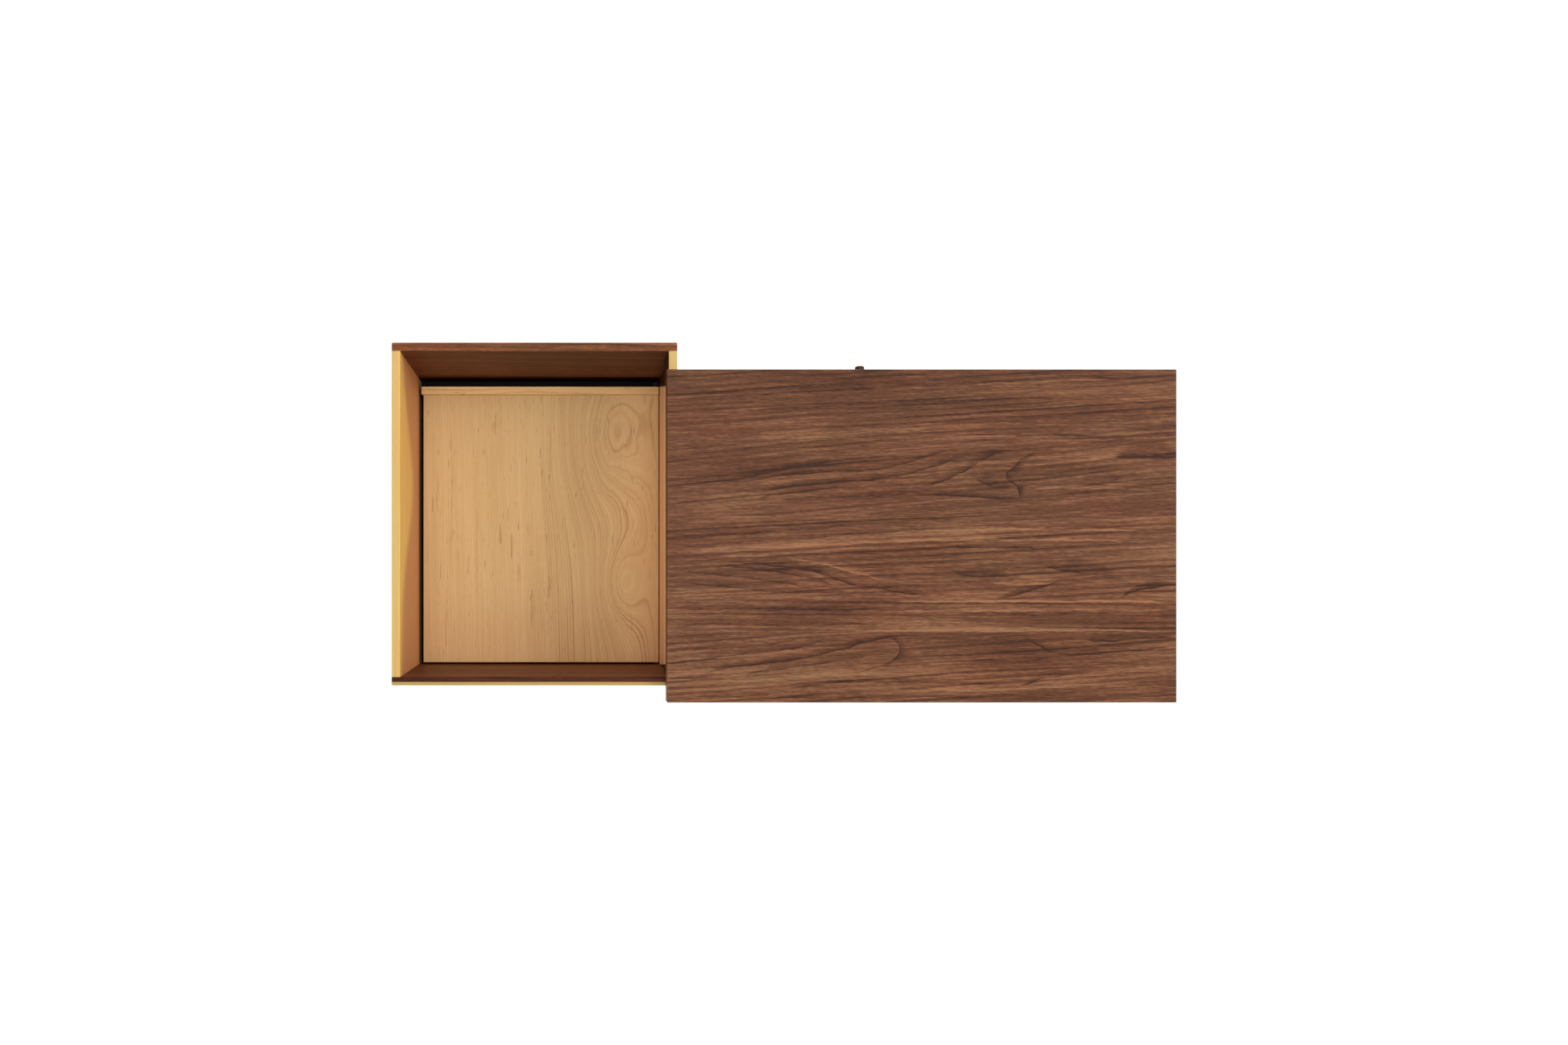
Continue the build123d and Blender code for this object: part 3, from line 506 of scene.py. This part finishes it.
WALNUT_X = ("base_board", "front_wall", "pedestal_back_wall")
WALNUT_Y = ("pedestal_divider", "drawer_front")
DEEP_X = {
    "tray_back_wall": ((1.20, 1.22, 1.0), painted_shade_foot, 0.0),
    "tray_front_wall": ((0.34, 0.20, 0.14), None, 0.12),
}
BEECH_X = ("drawer_side_near", "drawer_side_far")
BEECH_Y = ("rod_cover_strip", "drawer_back")
for number, node in enumerate(WALNUT_X):
    paint(node, wood(node + "_walnut", WALNUT, "x", 20.0 + number, slope=0.02))
for number, node in enumerate(WALNUT_Y):
    paint(node, wood(node + "_walnut", WALNUT, "y", 30.0 + number, slope=0.02))
for number, (node, (shade, inner, tone)) in enumerate(DEEP_X.items()):
    look = dict(slope=0.02, tone=tone, tint=rim_tone(shade, inner))
    paint(node, wood(node + "_walnut", DEEP_WALNUT, "x", 34.0 + number, **look))
for number, node in enumerate(BEECH_X):
    paint(node, wood(node + "_beech", BEECH, "x", 40.0 + number, slope=0.01))
BATTEN = dict(BEECH, mid=srgb(212, 168, 108), light=srgb(234, 196, 140))
paint("finger_batten", wood("batten_beech", BATTEN, "x", 45.0, tone=0.12, tint=painted_highlight_arris))
for number, node in enumerate(BEECH_Y):
    paint(node, wood(node + "_beech", BEECH, "y", 50.0 + number, slope=0.01))
paint("tray_front_facing", wood("facing_maple", GOLD_MAPLE, "x", 55.0, tint=rim_tone((0.56, 0.55, 0.42))))
LEFT_TINT = rim_tone((0.79, 0.77, 0.68), painted_light_and_shade)
paint("tray_left_wall", wood("left_wall_maple", GOLD_MAPLE, "y", 56.0, tint=LEFT_TINT))
# The pivot side's rails and panel get a lighter tone, which is partly painted light on their shaded inner
# face.
for number, node in enumerate(("tray_top_rail", "tray_bottom_rail", "tray_side_panel")):
    look = dict(tone=0.3, tint=rim_tone((0.70, 0.64, 0.52), painted_shade_corner))
    paint(node, wood(node + "_maple", GOLD_MAPLE, "y", 57.0 + number, **look))
PANEL_FIGURES = [
    (0.086, -0.2130, 0.062, 0.031, 0.047),
    (-0.034, -0.2000, 0.036, 0.018, 0.029),
]
CONTOURED = dict(BEECH, line=0.42, band=0.05, ring_gap=0.0024, hue=0.2)
PANEL_STREAKS = [
    (mm(100, -335, 40, -334, -28, -336), 0.0016, 0.14),
    (mm(84, -315, 20, -314, -40, -315), 0.0014, 0.12),
    (mm(104, -299, 84, -299.5), 0.0012, 0.22),
    (mm(14, -295.5, -4, -296), 0.0012, 0.30),
    (mm(8, -287, -16, -286.5), 0.0013, 0.34),
    (mm(-16, -281, -34, -281), 0.0012, 0.22),
    (mm(-36, -270, -52, -270.6, -70, -270), 0.0018, 0.34),
    (mm(-24, -256.5, -48, -257), 0.0012, 0.32),
    (mm(94, -255.5, 60, -256, 34, -255), 0.0012, 0.18),
    (mm(-10, -321, -28, -321), 0.0012, 0.24),
    (mm(60, -346, 20, -345.5), 0.0014, 0.14),
    (mm(-30, -338, -90, -339), 0.0014, 0.14),
    (mm(-50, -305, -94, -304), 0.0016, 0.12),
]
PANEL_LOOK = dict(
    figures=PANEL_FIGURES, strokes=PANEL_STREAKS, slope=0.02, wander=0.002, jag=0.22, quiet=(-0.245, -0.275)
)
paint("false_bottom_panel", wood("panel_beech", CONTOURED, "y", 61.0, tint=pinker_front_painted_light_side, **PANEL_LOOK))


def painted_shade_inside(g, place, colour):
    """The tray bottom is painted black on its face inside the hidden compartment, as painted shade."""
    inside = g.step(place[2], BOTTOM_FACE - 0.0006, BOTTOM_FACE - 0.0002)
    return g.mix(inside, colour, (0.05, 0.04, 0.04, 1.0), "MULTIPLY")


paint("tray_bottom", wood("tray_bottom_ply", BEECH, "x", 70.0, rough=0.6, tint=painted_shade_inside))
PLY = ("drawer_bottom", "lid_splines")
for number, node in enumerate(PLY):
    paint(node, wood(node + "_ply", BEECH, "x", 71.0 + number, rough=0.6))
DOWELS = ("tray_dowels", "carcass_dowels", "drawer_dowels", "batten_dowels")
for number, node in enumerate(DOWELS):
    paint(node, wood(node + "_beech", BEECH, "y", 80.0 + number, rough=0.6))

BRASS = metal("brass_brushed", srgb(205, 168, 98), 0.28)
BRASS_NODES = (
    "cover_strip_screws", "lid_pins", "base_screws", "pivot_pins", "pivot_washers",
    "lid_pivot_leaf", "base_pivot_leaf", "carcass_leaf_screws", "drawer_stop_pin",
    "tray_upper_leaf", "tray_lower_leaf", "tray_leaf_screws",
)
for node in BRASS_NODES:
    paint(node, BRASS)
EBONY = dict(WALNUT, dark=srgb(38, 28, 23), mid=srgb(62, 48, 40), light=srgb(84, 68, 58))
for number, node in enumerate(("lock_rod", "lock_tooth", "lock_knob")):
    paint(node, wood(node + "_ebony", EBONY, "y", 90.0 + number, rough=0.35))
# The cleats are painted near black, as painted shade inside the compartment.
SHADE_BLACK_PALETTE = dict(EBONY, dark=srgb(20, 14, 11), mid=srgb(32, 23, 18))
paint("tray_cleats", wood("cleats_painted_shade", SHADE_BLACK_PALETTE, "y", 95.0))
# The felt is near black; in the compartment lining this also stands in for painted shade in the gap behind
# the batten.
for node in ("base_felt", "drawer_felt", "compartment_lining"):
    paint(node, felt(node + "_wool", srgb(17, 12, 11)))

# ---------------------------------------------------------------- floor, light, camera
low, high = cad_box
FLOOR_SIZE = 6.0
FLOOR_GAP = 0.0002
FLOOR_GLOW = 0.75
SKY_GLOW = 0.6
bpy.ops.mesh.primitive_plane_add(size=FLOOR_SIZE, location=(0, 0, low[2] - FLOOR_GAP))
floor = bpy.context.object
floor.name = "studio_floor"
white = Graph("studio_white")
white.surface((0.93, 0.93, 0.93, 1.0), 0.9, 0.0)
white.bsdf.inputs["Emission Color"].default_value = (1, 1, 1, 1)
white.bsdf.inputs["Emission Strength"].default_value = FLOOR_GLOW
floor.data.materials.append(white.mat)

world = bpy.data.worlds.new("studio")
bpy.context.scene.world = world
world.use_nodes = True
world.node_tree.nodes["Background"].inputs["Color"].default_value = (1.0, 1.0, 1.0, 1.0)
world.node_tree.nodes["Background"].inputs["Strength"].default_value = SKY_GLOW


def softbox(name, place, aim, size, energy):
    light = bpy.data.lights.new(name, "AREA")
    light.shape = "RECTANGLE"
    light.size, light.size_y = size
    light.energy = energy
    lamp = bpy.data.objects.new(name, light)
    bpy.context.collection.objects.link(lamp)
    lamp.location = place
    direction = [aim[k] - place[k] for k in range(3)]
    flat = math.hypot(direction[0], direction[1])
    lamp.rotation_euler = (
        math.atan2(flat, -direction[2]),
        0.0,
        math.atan2(direction[1], direction[0]) - math.pi / 2,
    )


MIDDLE = ((low[0] + high[0]) / 2, (low[1] + high[1]) / 2, high[2])
OVERHEAD_PLACE = (MIDDLE[0] - 0.1, MIDDLE[1] + 0.12, 2.1)
OVERHEAD_WATTS = 21.0
FILL_PLACE = (MIDDLE[0] + 1.1, MIDDLE[1] + 0.3, 1.6)
FILL_WATTS = 12.0
softbox("overhead", OVERHEAD_PLACE, MIDDLE, (1.0, 0.8), OVERHEAD_WATTS)
softbox("right_fill", FILL_PLACE, MIDDLE, (0.8, 0.8), FILL_WATTS)

# The camera looks straight down beside the open tray's middle, from 0.71 m above its rim.  The
# shift moves the picture onto the whole object without tilting the camera.
CAMERA_ABOVE_RIM = 0.713
CAMERA_XY = (-0.2540, -0.0259)
SENSOR_WIDTH_MM = 36.0
LENS_MM = 23.41
CAMERA_SHIFT = (0.1480, 0.0326)
camera = bpy.data.cameras.new("overhead_camera")
camera.sensor_width = SENSOR_WIDTH_MM
camera.lens = LENS_MM
camera.shift_x, camera.shift_y = CAMERA_SHIFT
camera_object = bpy.data.objects.new("overhead_camera", camera)
bpy.context.collection.objects.link(camera_object)
camera_object.location = (*CAMERA_XY, RIM + CAMERA_ABOVE_RIM)
bpy.context.scene.camera = camera_object
bpy.context.scene.view_settings.view_transform = "Standard"
